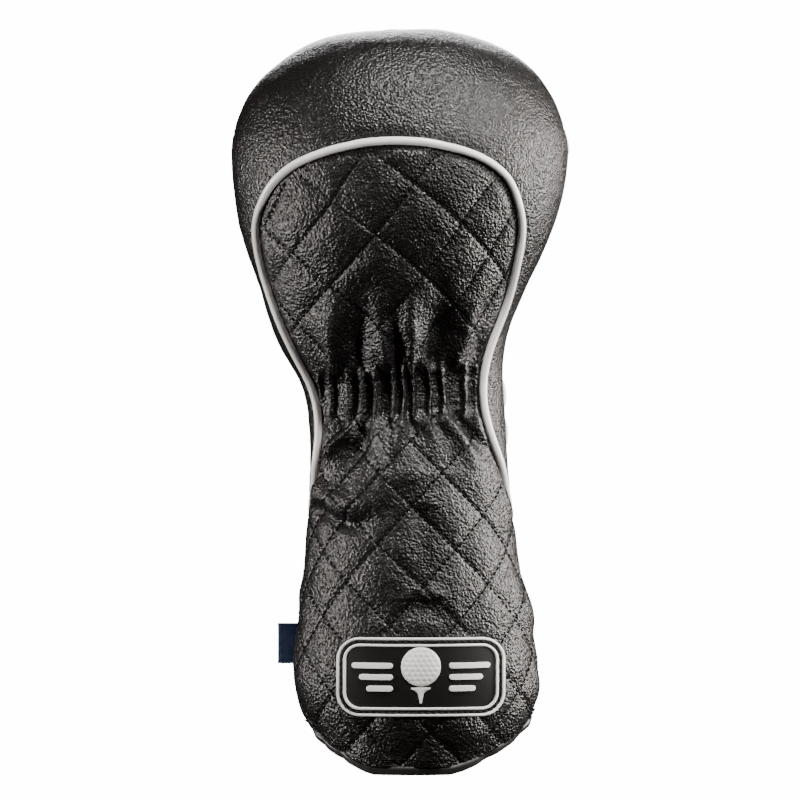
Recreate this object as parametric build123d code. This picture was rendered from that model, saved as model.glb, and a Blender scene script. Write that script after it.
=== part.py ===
"""Golf driver head cover: a soft sock of two leather panels with a quilted back, standing on its hem.

Millimetres, +Z up. The origin is under the middle of the cover, at the height of its lowest hem.
The quilted back faces -Y, the plain front faces +Y, and the ribbon tag is on the -X side seam.
"""
from build123d import *
import math
import os

# Cross-sections of the filled cover, from the hem to the crown: height, left, right, back, front.
STATIONS = [
    (-4.0, -31.0, 42.5, -30.0, 30.0),
    (8.0, -35.5, 49.0, -32.5, 32.5),
    (18.0, -38.5, 53.6, -34.8, 34.8),
    (28.0, -43.0, 58.0, -36.5, 36.5),
    (43.0, -46.0, 59.2, -37.5, 37.5),
    (60.0, -44.4, 56.8, -37.0, 37.0),
    (80.0, -42.6, 53.2, -36.0, 36.0),
    (100.0, -40.6, 48.9, -35.0, 35.0),
    (120.0, -39.6, 47.4, -33.5, 34.0),
    (140.0, -39.2, 45.5, -30.0, 33.0),
    (158.0, -40.8, 44.6, -26.5, 32.5),
    (172.0, -46.0, 43.6, -29.0, 35.0),
    (188.0, -55.0, 46.0, -35.5, 39.0),
    (205.0, -60.2, 52.6, -42.0, 43.5),
    (225.0, -66.7, 61.8, -48.5, 48.8),
    (245.0, -71.5, 68.6, -52.5, 51.8),
    (265.0, -73.5, 72.2, -53.6, 52.3),
    (280.0, -71.2, 70.0, -51.0, 50.2),
    (291.0, -67.2, 65.6, -47.2, 46.6),
    (301.0, -58.8, 58.8, -41.0, 40.6),
    (310.0, -46.4, 47.4, -32.0, 31.8),
    (316.5, -31.5, 33.0, -21.5, 21.5),
    (319.5, -12.0, 13.0, -8.5, 8.5),
]
CROWN_START = 265.0          # above this height the cover closes as a dome
CROWN_TOP = 320.0

# Layers, measured inwards from the outer face of the leather.
LEATHER = 1.2
ELASTIC_THICKNESS = 1.2
FOAM = 3.0
LINING = 1.6
FOAM_INNER = LEATHER + FOAM
LINING_INNER = FOAM_INNER + LINING

# Seam between the front and back panels. Over the head it is an arch seen from the back.
SEAM_ARCH = [
    (-36, 138),
    (-34, 153),
    (-37, 163),
    (-45, 180),
    (-56, 206),
    (-61, 228),
    (-60, 243),
    (-50, 256),
    (-30, 265),
    (-3, 269),
    (22, 266),
    (42, 257),
    (51, 240),
    (49, 218),
    (42, 193),
    (35, 173),
    (36, 153),
    (40, 138),
]
SEAM_SIDE_Y = 16.0           # below the neck the seam runs down each side, in front of the middle
SEAM_TURN_Z = 94.0           # height where the side seam starts to sweep back towards the arch
SEAM_JOIN_Z = 124.0          # height where the side seam meets the arch
SEAM_JOIN_Y = -8.0           # and its y there
PIPING_RADIUS = 2.1
PIPING_CORD_RADIUS = 0.9
PIPING_PROUD = 2.15          # the piping's centre stands this far outside the leather
PIPING_RUN = 7.0             # length of the straight runs that follow the seam

# Mouth: the hem is level at front and back and rises to the side seams.
HEM_CURVE = [
    (-43.0, 21.0),
    (-34.0, 11.6),
    (-23.0, 5.0),
    (-9.0, 0.0),
    (19.0, 0.0),
    (34.0, 4.6),
    (46.0, 11.0),
    (58.0, 22.0),
]
BINDING_HEIGHT = 4.0
BINDING_PROUD = 0.6
HEM_STITCH_RISE = 3.6        # above the binding

# Elastic gather at the neck.
ELASTIC_LOW = 155.5
ELASTIC_HIGH = 169.0

THREAD = 0.3                 # how far thread stands proud of the leather
THREAD_WIDTH = 0.6
THREAD_GAP = 2.0             # between the back's stitching and the piping
QUILT_PITCH = 24.0           # square quilting, turned 45 degrees
QUILT_LINES = 9              # lines each side of the middle one, in each direction
QUILT_CENTRE = (9.4, 82.0)   # a crossing point of the quilting lines, x and z

# Moulded badge on the back of the skirt.
BADGE_CENTRE = (8.4, 42.4)
BADGE_SIZE = (70.0, 33.6)
BADGE_CORNER = 10.0
BADGE_THICKNESS = 1.6
BADGE_RELIEF = 0.6
RIM_WIDTH = 1.1
RIM_CHANNEL = 1.8

# Ribbon tag sewn into the left side seam.
TAG_BOTTOM = 45.2
TAG_HEIGHT = 17.6
TAG_LENGTH = 9.4
TAG_LAYER = 0.45
TAG_THICKNESS = 1.5
TAG_Y = SEAM_SIDE_Y - PIPING_RADIUS - TAG_THICKNESS / 2 - 0.35
TAG_CLEARANCE = 1.2          # between the ribbon's end and the leather at the ribbon's lower edge

# Raised embroidery on the front: bottom, top, left end, and the end's y on the right side.
EMBROIDERY = 1.3
BARS = [
    (84.0, 91.0, -22.0, 20.0),
    (98.0, 105.0, -23.0, 20.0),
    (112.0, 120.0, -24.0, 11.0),
    (140.0, 152.0, -26.0, 2.0),
    (157.0, 169.0, -27.0, 2.0),
    (267.0, 275.0, -44.0, 2.0),
]

# Golf ball and tee drawn on the badge, with bars each side, in place of any lettering.
BALL_RADIUS = 8.2
BALL_RISE = 4.4
TEE_TOP = 9.0
TEE_STEM = 1.8
TEE_DROP = 8.6
BAR_HEIGHT = 2.6
BAR_GAP = 2.2
BAR_LENGTHS = (19.0, 15.0, 11.0)
BAR_START = 12.0

FAR = 150.0                  # reach of the cutting shapes, well outside the cover
SKY = 400.0                  # a height above the cover


def offset_station(station, inset):
    """One cross-section of the surface that lies inset mm inside the leather's outer face."""
    z, left, right, back, front = station
    half_x = (right - left) / 2
    half_y = (front - back) / 2
    if z > CROWN_START:
        crown = next(row for row in STATIONS if row[0] == CROWN_START)
        half_x *= 1 - inset / ((crown[2] - crown[1]) / 2)
        half_y *= 1 - inset / ((crown[4] - crown[3]) / 2)
        z = CROWN_START + (z - CROWN_START) * (1 - inset / (CROWN_TOP - CROWN_START))
    else:
        half_x -= inset
        half_y -= inset
    return z, (left + right) / 2, (back + front) / 2, half_x, half_y


def body(inset):
    """Solid inside the surface that lies inset mm inside the leather's outer face."""
    sections = []
    for station in STATIONS:
        z, x, y, half_x, half_y = offset_station(station, inset)
        sections.append(Plane(origin=(x, y, z)) * Ellipse(half_x, half_y))
    return loft(sections)


def section_at(z):
    """Centre and half widths of the leather's outer face at height z, between two stations."""
    for low, high in zip(STATIONS, STATIONS[1:]):
        if low[0] <= z <= high[0]:
            share = (z - low[0]) / (high[0] - low[0])
            mixed = [a + (b - a) * share for a, b in zip(low, high)]
            return offset_station(mixed, 0.0)[1:]
    raise ValueError(f"no cross-section at height {z}")


def above_hem(rise):
    """Everything above the hem curve moved up by rise."""
    curve = Spline(*[(x, z + rise) for x, z in HEM_CURVE[:4]], tangents=[(1, -1.0), (1, 0)])
    flat_end = (HEM_CURVE[4][0], HEM_CURVE[4][1] + rise)
    level = Line(curve @ 1, flat_end)
    climb = Spline(*[(x, z + rise) for x, z in HEM_CURVE[4:]], tangents=[(1, 0), (1, 1.0)])
    left_out = Line((-FAR, HEM_CURVE[0][1] + rise), curve @ 0)
    right_out = Line(climb @ 1, (FAR, HEM_CURVE[-1][1] + rise))
    top = Polyline(right_out @ 1, (FAR, SKY), (-FAR, SKY), left_out @ 0)
    face = make_face([left_out, curve, level, climb, right_out, top])
    return extrude(Plane.XZ * face, amount=FAR, both=True)


def side_point(side, y, z):
    """The leather's outer face on one side, -1 or 1, at y and z."""
    centre_x, centre_y, half_x, half_y = section_at(z)
    return Vector(centre_x + side * half_x * math.sqrt(1 - ((y - centre_y) / half_y) ** 2), y, z)


def whole_arch():
    """The arch's points seen from the back, with its two ends where the side seams meet it."""
    ends = [side_point(side, SEAM_JOIN_Y, SEAM_JOIN_Z) for side in (-1, 1)]
    return [(ends[0].X, ends[0].Z), *SEAM_ARCH, (ends[1].X, ends[1].Z)]


def side_seam_y(z):
    """How far forward the side seam runs at height z, below the arch."""
    late = max(0.0, (z - SEAM_TURN_Z) / (SEAM_JOIN_Z - SEAM_TURN_Z))
    return SEAM_SIDE_Y + (SEAM_JOIN_Y - SEAM_SIDE_Y) * late * late * (2.6 - 1.6 * late)


def back_region(margin=0.0):
    """Space of the quilted back panel, kept margin mm inside its seam."""
    seam = Spline(*whole_arch())
    inner = []
    for step in range(len(SEAM_ARCH) + 2):
        along = step / (len(SEAM_ARCH) + 1)
        ahead = seam % along
        inner.append(seam @ along + Vector(ahead.Y, -ahead.X) * margin)
    arch = Spline(*inner)
    left_out = Line((-FAR, (arch @ 0).Y), arch @ 0)
    right_out = Line(arch @ 1, (FAR, (arch @ 1).Y))
    below = Polyline(right_out @ 1, (FAR, -FAR), (-FAR, -FAR), left_out @ 0)
    outline = make_face([left_out, arch, right_out, below])
    inside_arch = extrude(Plane.XZ * outline, amount=FAR, both=True)
    heights = [SEAM_TURN_Z + (SEAM_JOIN_Z - SEAM_TURN_Z) * step / 6 for step in range(7)]
    turn = Spline(*[(side_seam_y(z) - margin, z) for z in heights])
    corners = [(SEAM_JOIN_Y - margin, SKY), (-FAR, SKY), (-FAR, -FAR), (SEAM_SIDE_Y - margin, -FAR)]
    edge = Polyline(turn @ 1, *corners, turn @ 0)
    behind_sides = extrude(Plane.YZ * make_face([turn, edge]), amount=FAR, both=True)
    return inside_arch & behind_sides


def seam_point(x, y, z):
    """Centre of the piping at a point of the seam: on the leather and PIPING_PROUD outside it."""
    centre_x, centre_y, half_x, half_y = section_at(z)
    normal = Vector((x - centre_x) / half_x**2, (y - centre_y) / half_y**2, 0).normalized()
    return Vector(x, y, z) + normal * PIPING_PROUD


def seam_route():
    """Points along the whole seam, from the left hem over the arch to the right hem."""
    arch = Spline(*whole_arch())
    count = round(arch.length / PIPING_RUN)
    over = []
    for step in range(1, count):
        flat = arch @ (step / count)
        centre_x, centre_y, half_x, half_y = section_at(flat.Y)
        depth = half_y * math.sqrt(max(0.0, 1 - ((flat.X - centre_x) / half_x) ** 2))
        over.append(seam_point(flat.X, centre_y - depth, flat.Y))
    sides = {-1: [], 1: []}
    side_count = round(SEAM_JOIN_Z / PIPING_RUN)
    for side, points in sides.items():
        for step in range(side_count):
            z = SEAM_JOIN_Z * step / side_count
            on_side = side_point(side, side_seam_y(z), z)
            points.append(seam_point(on_side.X, on_side.Y, z))
    return sides[-1] + over + sides[1][::-1]


def rounded_path(points):
    """Straight runs between the points, joined by arcs as large as the runs allow."""
    radii = []
    for before, corner, after in zip(points, points[1:], points[2:]):
        first = corner - before
        second = after - corner
        turn = math.radians(first.get_angle(second))
        shorter = min(first.length, second.length)
        radii.append(0.45 * shorter / math.tan(turn / 2))
    return FilletPolyline(*points, radius=radii)


def tube(path, radius):
    """Round tube along a path."""
    return sweep(Plane(origin=path @ 0, z_dir=path % 0) * Circle(radius), path=path)


def band(low, high):
    """Everything between two heights."""
    return Pos(0, 0, (low + high) / 2) * Box(2 * FAR, 2 * FAR, high - low)


def quilt_lattice():
    """Thin upright plates along both directions of the square quilting, crossing each other."""
    centre_x, centre_z = QUILT_CENTRE
    at_centre = Pos(centre_x, -FAR / 2, centre_z)
    plate = Box(4 * FAR, FAR, THREAD_WIDTH)
    plates = []
    for angle in (45, -45):
        for step in range(-QUILT_LINES, QUILT_LINES + 1):
            plates.append(at_centre * Rot(0, angle, 0) * Pos(0, 0, step * QUILT_PITCH) * plate)
    return plates[0].fuse(*plates[1:])


def badge_outline(inset):
    """The badge's rounded outline moved inwards."""
    width, height = BADGE_SIZE
    return RectangleRounded(width - 2 * inset, height - 2 * inset, BADGE_CORNER - inset)


def behind_badge(sketch):
    """A sketch on the badge's face, carried straight through the back of the cover."""
    plane = Plane(origin=(BADGE_CENTRE[0], 0, BADGE_CENTRE[1]), x_dir=(1, 0, 0), z_dir=(0, -1, 0))
    return extrude(plane * sketch, amount=FAR)


def badge_nodes(outer):
    """The moulded badge: a dark base, two raised rims, the thread between them and the emblem."""
    base_face = body(-BADGE_THICKNESS)
    relief = body(-BADGE_THICKNESS - BADGE_RELIEF) - base_face
    stitch_layer = body(-BADGE_THICKNESS - THREAD) - base_face
    inner_start = RIM_WIDTH + RIM_CHANNEL
    outer_rim = badge_outline(0) - badge_outline(RIM_WIDTH)
    inner_rim = badge_outline(inner_start) - badge_outline(inner_start + RIM_WIDTH)
    seam = (RIM_WIDTH + inner_start - THREAD_WIDTH) / 2
    thread = badge_outline(seam) - badge_outline(seam + THREAD_WIDTH)
    ball = Pos(0, BALL_RISE) * Circle(BALL_RADIUS)
    tee_level = BALL_RISE - BALL_RADIUS - BAR_GAP / 4
    half_top = TEE_TOP / 2
    half_stem = TEE_STEM / 2
    tee = make_face(
        Polyline(
            (-half_top, tee_level),
            (half_top, tee_level),
            (half_stem, tee_level - BAR_GAP),
            (half_stem, tee_level - TEE_DROP + BAR_GAP),
            (-half_stem, tee_level - TEE_DROP + BAR_GAP),
            (-half_stem, tee_level - BAR_GAP),
            close=True,
        )
    )
    bars = Sketch()
    for row, length in enumerate(BAR_LENGTHS):
        level = BAR_HEIGHT + BAR_GAP - row * (BAR_HEIGHT + BAR_GAP)
        for side in (-1, 1):
            middle = side * (BAR_START + length / 2)
            bars += Pos(middle, level) * SlotOverall(length, BAR_HEIGHT)
    return {
        "badge_base": (base_face - outer) & behind_badge(badge_outline(0)),
        "badge_outer_rim": relief & behind_badge(outer_rim),
        "badge_inner_rim": relief & behind_badge(inner_rim),
        "badge_stitching": stitch_layer & behind_badge(thread),
        "badge_ball": relief & behind_badge(ball),
        "badge_tee": relief & behind_badge(tee),
        "badge_bars": relief & behind_badge(bars),
    }


def loop_tag():
    """Folded ribbon that stands out of the left side seam, loop outwards."""
    near_side = TAG_Y - TAG_THICKNESS / 2
    root = side_point(-1, near_side, TAG_BOTTOM).X - TAG_CLEARANCE
    bend = TAG_THICKNESS / 2
    flat = TAG_LENGTH - bend
    outside = Pos(-flat / 2, 0) * Rectangle(flat, TAG_THICKNESS) + Pos(-flat, 0) * Circle(bend)
    gap = bend - TAG_LAYER
    inside = Pos(-flat / 2, 0) * Rectangle(flat, 2 * gap) + Pos(-flat, 0) * Circle(gap)
    return extrude(Plane(origin=(root, TAG_Y, TAG_BOTTOM)) * (outside - inside), amount=TAG_HEIGHT)


def embroidered_bars(outer):
    """Raised satin-stitched bars that wrap from the front round to the right side."""
    layer = body(-EMBROIDERY) - outer
    bars = []
    for low, high, left, side_y in BARS:
        reach = Pos((left + FAR) / 2, (side_y + FAR) / 2, (low + high) / 2)
        bars.append(layer & reach * Box(FAR - left, FAR - side_y, high - low))
    return Compound(children=bars)


def pieces():
    """Every node of the cover, by name."""
    outer = body(0)
    leather_inner = body(LEATHER)
    foam_inner = body(FOAM_INNER)
    lining_inner = body(LINING_INNER)
    back = back_region()
    above_binding = above_hem(BINDING_HEIGHT)
    nodes = {}

    leather = (outer - leather_inner) & above_binding
    nodes["front_panel"] = leather - back
    nodes["back_panel"] = leather & back
    elastic_shell = (leather_inner - body(LEATHER + ELASTIC_THICKNESS)) & band(ELASTIC_LOW, ELASTIC_HIGH)
    nodes["elastic_band"] = elastic_shell & back
    foam = (leather_inner - foam_inner) & above_binding
    nodes["front_foam"] = foam - back
    nodes["back_wadding"] = (foam & back) - nodes["elastic_band"]
    lining = (foam_inner - lining_inner) & above_binding
    nodes["front_lining"] = lining - back
    nodes["back_lining"] = lining & back
    binding = body(-BINDING_PROUD) - body(LINING_INNER + BINDING_PROUD)
    nodes["hem_binding"] = (binding & above_hem(0)) - above_binding

    route = rounded_path(seam_route())
    cord = tube(route, PIPING_CORD_RADIUS)
    nodes["piping_cover"] = (tube(route, PIPING_RADIUS) - cord) & above_binding
    nodes["piping_cord"] = cord & above_binding

    thread = body(-THREAD) - outer
    stitch_low = BINDING_HEIGHT + HEM_STITCH_RISE
    hem_row = above_hem(stitch_low) - above_hem(stitch_low + THREAD_WIDTH)
    at_piping = Pos(0, SEAM_SIDE_Y, 0) * Box(2 * FAR, 2 * PIPING_RADIUS + 1, 2 * FAR)
    nodes["hem_stitching"] = (thread & hem_row) - at_piping
    back_thread = thread & back_region(PIPING_RADIUS + THREAD_GAP)
    rows = band(ELASTIC_LOW, ELASTIC_LOW + THREAD_WIDTH) + band(ELASTIC_HIGH - THREAD_WIDTH, ELASTIC_HIGH)
    nodes["gather_stitching"] = back_thread & rows
    above_stitch = above_hem(stitch_low + THREAD_WIDTH)
    clear = above_stitch - rows - behind_badge(badge_outline(0))
    nodes["quilting_thread"] = back_thread & (quilt_lattice() & clear)

    nodes.update(badge_nodes(outer))
    nodes["loop_tag"] = loop_tag()
    nodes["embroidered_bars"] = embroidered_bars(outer)
    return nodes


os.makedirs("parts", exist_ok=True)
for name, shape in pieces().items():
    export_step(shape, f"parts/{name}.step")
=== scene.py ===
"""Looks of the driver head cover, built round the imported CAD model.

Every length is in metres. Angles go round the cover in degrees: 0 is the middle of the quilted back (-Y),
90 is the +X side, 180 the middle of the front. The skin is the smooth outer face of the leather.
"""
import math
import bmesh
import bpy
import numpy as np
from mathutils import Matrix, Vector, noise
from mathutils.bvhtree import BVHTree
from mathutils.kdtree import KDTree


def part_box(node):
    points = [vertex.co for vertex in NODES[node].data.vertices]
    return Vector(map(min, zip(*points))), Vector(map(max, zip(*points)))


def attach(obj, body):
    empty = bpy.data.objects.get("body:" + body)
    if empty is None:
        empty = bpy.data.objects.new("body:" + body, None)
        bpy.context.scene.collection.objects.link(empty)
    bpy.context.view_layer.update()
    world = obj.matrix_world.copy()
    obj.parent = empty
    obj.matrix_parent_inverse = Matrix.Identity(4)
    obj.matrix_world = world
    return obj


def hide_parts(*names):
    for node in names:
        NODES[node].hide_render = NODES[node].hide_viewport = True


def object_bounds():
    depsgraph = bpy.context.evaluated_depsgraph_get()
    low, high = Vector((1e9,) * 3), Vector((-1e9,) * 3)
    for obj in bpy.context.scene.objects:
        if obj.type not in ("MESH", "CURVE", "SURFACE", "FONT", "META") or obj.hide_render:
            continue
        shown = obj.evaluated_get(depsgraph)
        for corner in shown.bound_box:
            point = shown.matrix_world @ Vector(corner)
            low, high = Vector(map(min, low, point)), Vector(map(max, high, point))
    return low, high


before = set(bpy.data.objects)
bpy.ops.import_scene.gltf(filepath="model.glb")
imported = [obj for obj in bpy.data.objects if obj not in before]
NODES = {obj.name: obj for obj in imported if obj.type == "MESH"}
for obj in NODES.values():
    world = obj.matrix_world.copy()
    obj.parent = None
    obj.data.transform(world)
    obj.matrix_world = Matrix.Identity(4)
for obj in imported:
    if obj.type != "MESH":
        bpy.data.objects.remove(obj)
CAD_LOW, CAD_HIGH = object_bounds()

MM = 0.001
ROOT = "cover"
TAG = "tag"


# ---------------------------------------------------------------- small tools

def mesh_object(name, points, faces):
    """A new mesh object from points and faces."""
    mesh = bpy.data.meshes.new(name)
    mesh.from_pydata([tuple(p) for p in points], [], faces)
    mesh.validate()
    mesh.shade_smooth()
    obj = bpy.data.objects.new(name, mesh)
    bpy.context.scene.collection.objects.link(obj)
    return obj


def grid_faces(rows, columns, wrap_rows=False, wrap_columns=False, start=0):
    """Quads of a grid of points stored row by row."""
    last_row = rows if wrap_rows else rows - 1
    last_column = columns if wrap_columns else columns - 1
    i, j = np.meshgrid(np.arange(last_row), np.arange(last_column), indexing="ij")
    i, j = i.ravel(), j.ravel()
    up, right = (i + 1) % rows, (j + 1) % columns
    quads = np.stack([i * columns + j, i * columns + right, up * columns + right, up * columns + j], 1)
    return (quads + start).tolist()


def smooth_step(x, low, high):
    """0 below low, 1 above high, and a smooth rise between them."""
    t = np.clip((np.asarray(x, float) - low) / (high - low), 0, 1)
    return t * t * (3 - 2 * t)


def bump_at(x, centre, width):
    """A smooth bump, 1 at centre."""
    return np.exp(-(((np.asarray(x, float) - centre) / width) ** 2))


def smooth_path(points, spacing):
    """Points every spacing along a smooth open curve through the given points."""
    points = np.asarray(points, float)
    spans = len(points) - 1
    control = np.vstack([2 * points[0] - points[1], points, 2 * points[-1] - points[-2]])
    t = np.linspace(0, spans, spans * 12 + 1)
    index = np.minimum(t.astype(int), spans - 1)
    f = (t - index)[:, None]
    a, b, c, d = (control[index + k] for k in range(4))
    curve = 0.5 * (2 * b + (c - a) * f + (2 * a - 5 * b + 4 * c - d) * f**2 + (3 * b - a - 3 * c + d) * f**3)
    along = length_along(curve)
    wanted = np.linspace(0, along[-1], max(2, round(along[-1] / spacing)) + 1)
    return np.stack([np.interp(wanted, along, curve[:, k]) for k in range(curve.shape[1])], 1)


def length_along(path):
    """Length of the path up to each of its points."""
    return np.concatenate([[0], np.cumsum(np.linalg.norm(np.diff(path, axis=0), axis=1))])


def fractal(points, scale, octaves, seed):
    """Smooth noise of about -1 to 1 at each point; scale is the size of its largest features."""
    shift = Vector((seed * 17.3, seed * 5.1, seed * 9.7))
    return np.array([noise.fractal(Vector(p) / scale + shift, 0.9, 2.1, octaves) for p in points])


# ---------------------------------------------------------------- the skin, read from the CAD panels

class Skin:
    """Smooth outer face of the leather: a closed cubic surface through rays cast at the CAD panels.

    A place on it is an angle and a row. Rows are level every STEP up to PIVOT, then they fan
    over the crown from the pivot point up to the top.
    """

    STEP = 5 * MM
    AROUND = 72
    FAN = 6.0                 # degrees between rows over the crown

    def __init__(self):
        front = NODES["front_panel"].data
        back = NODES["back_panel"].data
        corners = [v.co.copy() for v in front.vertices] + [v.co.copy() for v in back.vertices]
        shift = len(front.vertices)
        faces = [list(p.vertices) for p in front.polygons]
        self.front_faces = len(faces)
        faces += [[i + shift for i in p.vertices] for p in back.polygons]
        self.tree = BVHTree.FromPolygons(corners, faces)
        low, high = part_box("front_panel")
        self.pivot = Vector(((low.x + high.x) / 2, (low.y + high.y) / 2, high.z - 70 * MM))
        self.level_rows = int(self.pivot.z / self.STEP) + 1
        self.pivot.z = (self.level_rows - 1) * self.STEP
        self.fan_rows = round(90 / self.FAN)
        self.top_row = self.level_rows - 1 + self.fan_rows
        self.control = self.read_control()

    def read_control(self):
        angles = np.radians(np.arange(self.AROUND) * 360 / self.AROUND - 180)
        rows = []
        for row in range(self.top_row + 1):
            fan = math.radians(max(0, row - self.level_rows + 1) * self.FAN)
            height = min(row, self.level_rows - 1) * self.STEP
            centre = Vector((self.pivot.x, self.pivot.y, height))
            ring = []
            for angle in angles:
                out = Vector((math.sin(angle), -math.cos(angle), 0)) * math.cos(fan) + Vector((0, 0, math.sin(fan)))
                hit = self.tree.ray_cast(centre + out * 0.3, -out, 0.3)[0]
                ring.append(tuple(hit) if hit else (math.nan,) * 3)
            rows.append(ring)
        control = np.array(rows)
        for row in range(self.level_rows, -1, -1):
            missed = np.isnan(control[row, :, 0])
            lean = 0.85 * (control[row + 1, missed] - control[row + 2, missed])
            control[row, missed] = control[row + 1, missed] + lean
            control[row, missed, 2] = row * self.STEP
        control[-1] = control[-1].mean(0)
        return control

    def row_of(self, height):
        """Row at a height below the pivot."""
        return np.asarray(height, float) / self.STEP

    def at(self, angle, row):
        """Points of the skin."""
        angle, row = np.broadcast_arrays(np.asarray(angle, float), np.asarray(row, float))
        j = (angle + 180) / 360 * self.AROUND
        j0 = np.floor(j).astype(int)
        i = np.clip(row, 0, self.top_row)
        i0 = np.minimum(np.floor(i).astype(int), self.top_row - 1)
        total = np.zeros(angle.shape + (3,))
        for a, wa in enumerate(self.weights(i - i0)):
            source = i0 + a - 1
            beyond = source > self.top_row
            turned = np.where(beyond, self.AROUND // 2, 0)
            source = np.where(beyond, 2 * self.top_row - source, source)
            below = source < 0
            source = np.maximum(source, 0)
            for b, wb in enumerate(self.weights(j - j0)):
                column = (j0 + b - 1 + turned) % self.AROUND
                point = self.control[source, column]
                lower = point - (self.control[1, column] - self.control[0, column])
                point = np.where(below[..., None], lower, point)
                total += point * (wa * wb)[..., None]
        return total

    @staticmethod
    def weights(t):
        """Uniform cubic B-spline weights."""
        return [(1 - t) ** 3 / 6, (3 * t**3 - 6 * t**2 + 4) / 6, (-3 * t**3 + 3 * t**2 + 3 * t + 1) / 6, t**3 / 6]

    def frame_at(self, angle, row):
        """Points and outward normals."""
        point = self.at(angle, row)
        row = np.minimum(row, self.top_row - 0.06)
        around = self.at(np.asarray(angle) + 0.4, row) - self.at(np.asarray(angle) - 0.4, row)
        up = self.at(angle, np.asarray(row) + 0.05) - self.at(angle, np.asarray(row) - 0.05)
        return point, unit(np.cross(around, up))

    def is_back(self, angle, row):
        """Whether the nearest CAD panel there is the quilted one."""
        index = self.tree.find_nearest(Vector(self.at(angle, row)))[2]
        return index >= self.front_faces

    def is_leather(self, angle, row):
        """Whether the panels reach this place, which they don't below the hem."""
        return self.tree.find_nearest(Vector(self.at(angle, row)))[3] < 0.6 * MM

    def behind(self, x, z):
        """Angle and row of the back of the skin at x, z, for places below the pivot."""
        x, z = np.broadcast_arrays(np.asarray(x, float), np.asarray(z, float))
        row = self.row_of(z)
        low, high = np.full(x.shape, -95.0), np.full(x.shape, 95.0)
        for _ in range(30):
            middle = (low + high) / 2
            less = self.at(middle, row)[..., 0] < x
            low = np.where(less, middle, low)
            high = np.where(less, high, middle)
        return (low + high) / 2, row


def unit(vectors):
    """Vectors scaled to length 1."""
    length = np.linalg.norm(vectors, axis=-1, keepdims=True)
    return vectors / np.maximum(length, 1e-12)


def bisect(test, inside, outside):
    """Where a test stops being true between two numbers."""
    for _ in range(16):
        middle = (inside + outside) / 2
        if test(middle):
            inside = middle
        else:
            outside = middle
    return (inside + outside) / 2


skin = Skin()


class Hem:
    """Lower edge of the leather panels, as the row at each angle."""

    def __init__(self):
        self.angles = np.arange(-180, 181, 5.0)
        rows = [bisect(lambda r, a=a: skin.is_leather(a, r), 14.0, 0.0) for a in self.angles]
        rows = np.array(rows)
        self.rows = (np.roll(rows, 1) + 2 * rows + np.roll(rows, -1)) / 4

    def row(self, angle):
        wrapped = (np.asarray(angle, float) + 180) % 360 - 180
        return np.interp(wrapped, self.angles, self.rows)


hem = Hem()


class Seam:
    """The seam between the two leather panels, from the left hem over the arch to the right hem."""

    def __init__(self):
        side_rows = np.arange(6.4, 48.0, 0.8)
        left = [(bisect(lambda a, r=r: skin.is_back(a, r), -8.0, -150.0), r) for r in side_rows]
        right = [(bisect(lambda a, r=r: skin.is_back(a, r), 8.0, 150.0), r) for r in side_rows]
        lower = np.arange(0.0, side_rows[0], 0.8)
        left = [(left[0][0], r) for r in lower] + left
        right = [(right[0][0], r) for r in lower] + right
        arch = []
        for angle in np.arange(left[-1][0] + 3, right[-1][0] - 3, 3.0):
            arch.append((angle, bisect(lambda r, a=angle: skin.is_back(a, r), 44.0, 58.0)))
        places = np.array(left + arch + right[::-1])
        kernel = np.array([1, 3, 4, 3, 1]) / 12
        for column in range(2):
            padded = np.pad(places[:, column], 2, mode="edge")
            places[:, column] = np.convolve(padded, kernel, mode="valid")
        self.places = places
        top = int(np.argmax(places[:, 1]))
        self.top_row = places[top, 1]
        self.left_side = places[: top + 1]
        self.right_side = places[top:][::-1]
        self.points = skin.at(places[:, 0], places[:, 1])
        self.dense = smooth_path(self.points, 1.0 * MM)

    def left(self, row):
        return np.interp(row, self.left_side[:, 1], self.left_side[:, 0])

    def right(self, row):
        return np.interp(row, self.right_side[:, 1], self.right_side[:, 0])

    def distance(self, points):
        """Distance from each point to the seam."""
        tree = KDTree(len(self.dense))
        for index, point in enumerate(self.dense):
            tree.insert(Vector(point), index)
        tree.balance()
        return np.array([tree.find(Vector(p))[2] for p in points])


seam = Seam()

# ---------------------------------------------------------------- camera, lights, floor

def make_camera():
    """Long lens at the level of the cover's middle, straight at the quilted back."""
    data = bpy.data.cameras.new("camera")
    data.lens = 200
    data.sensor_width = 36
    data.clip_end = 20
    camera = bpy.data.objects.new("camera", data)
    bpy.context.scene.collection.objects.link(camera)
    camera.location = (-0.4 * MM, -1.923, 159.9 * MM)
    camera.rotation_euler = (math.radians(90), 0, 0)
    bpy.context.scene.camera = camera


def area_light(name, place, target, size, power, colour=(1, 1, 1)):
    """A soft rectangular light aimed at a point."""
    data = bpy.data.lights.new(name, "AREA")
    data.shape = "RECTANGLE"
    data.size, data.size_y = size
    data.energy = power
    data.color = colour
    light = bpy.data.objects.new(name, data)
    bpy.context.scene.collection.objects.link(light)
    light.location = place
    light.rotation_euler = (Vector(target) - Vector(place)).to_track_quat("-Z", "Y").to_euler()


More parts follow.
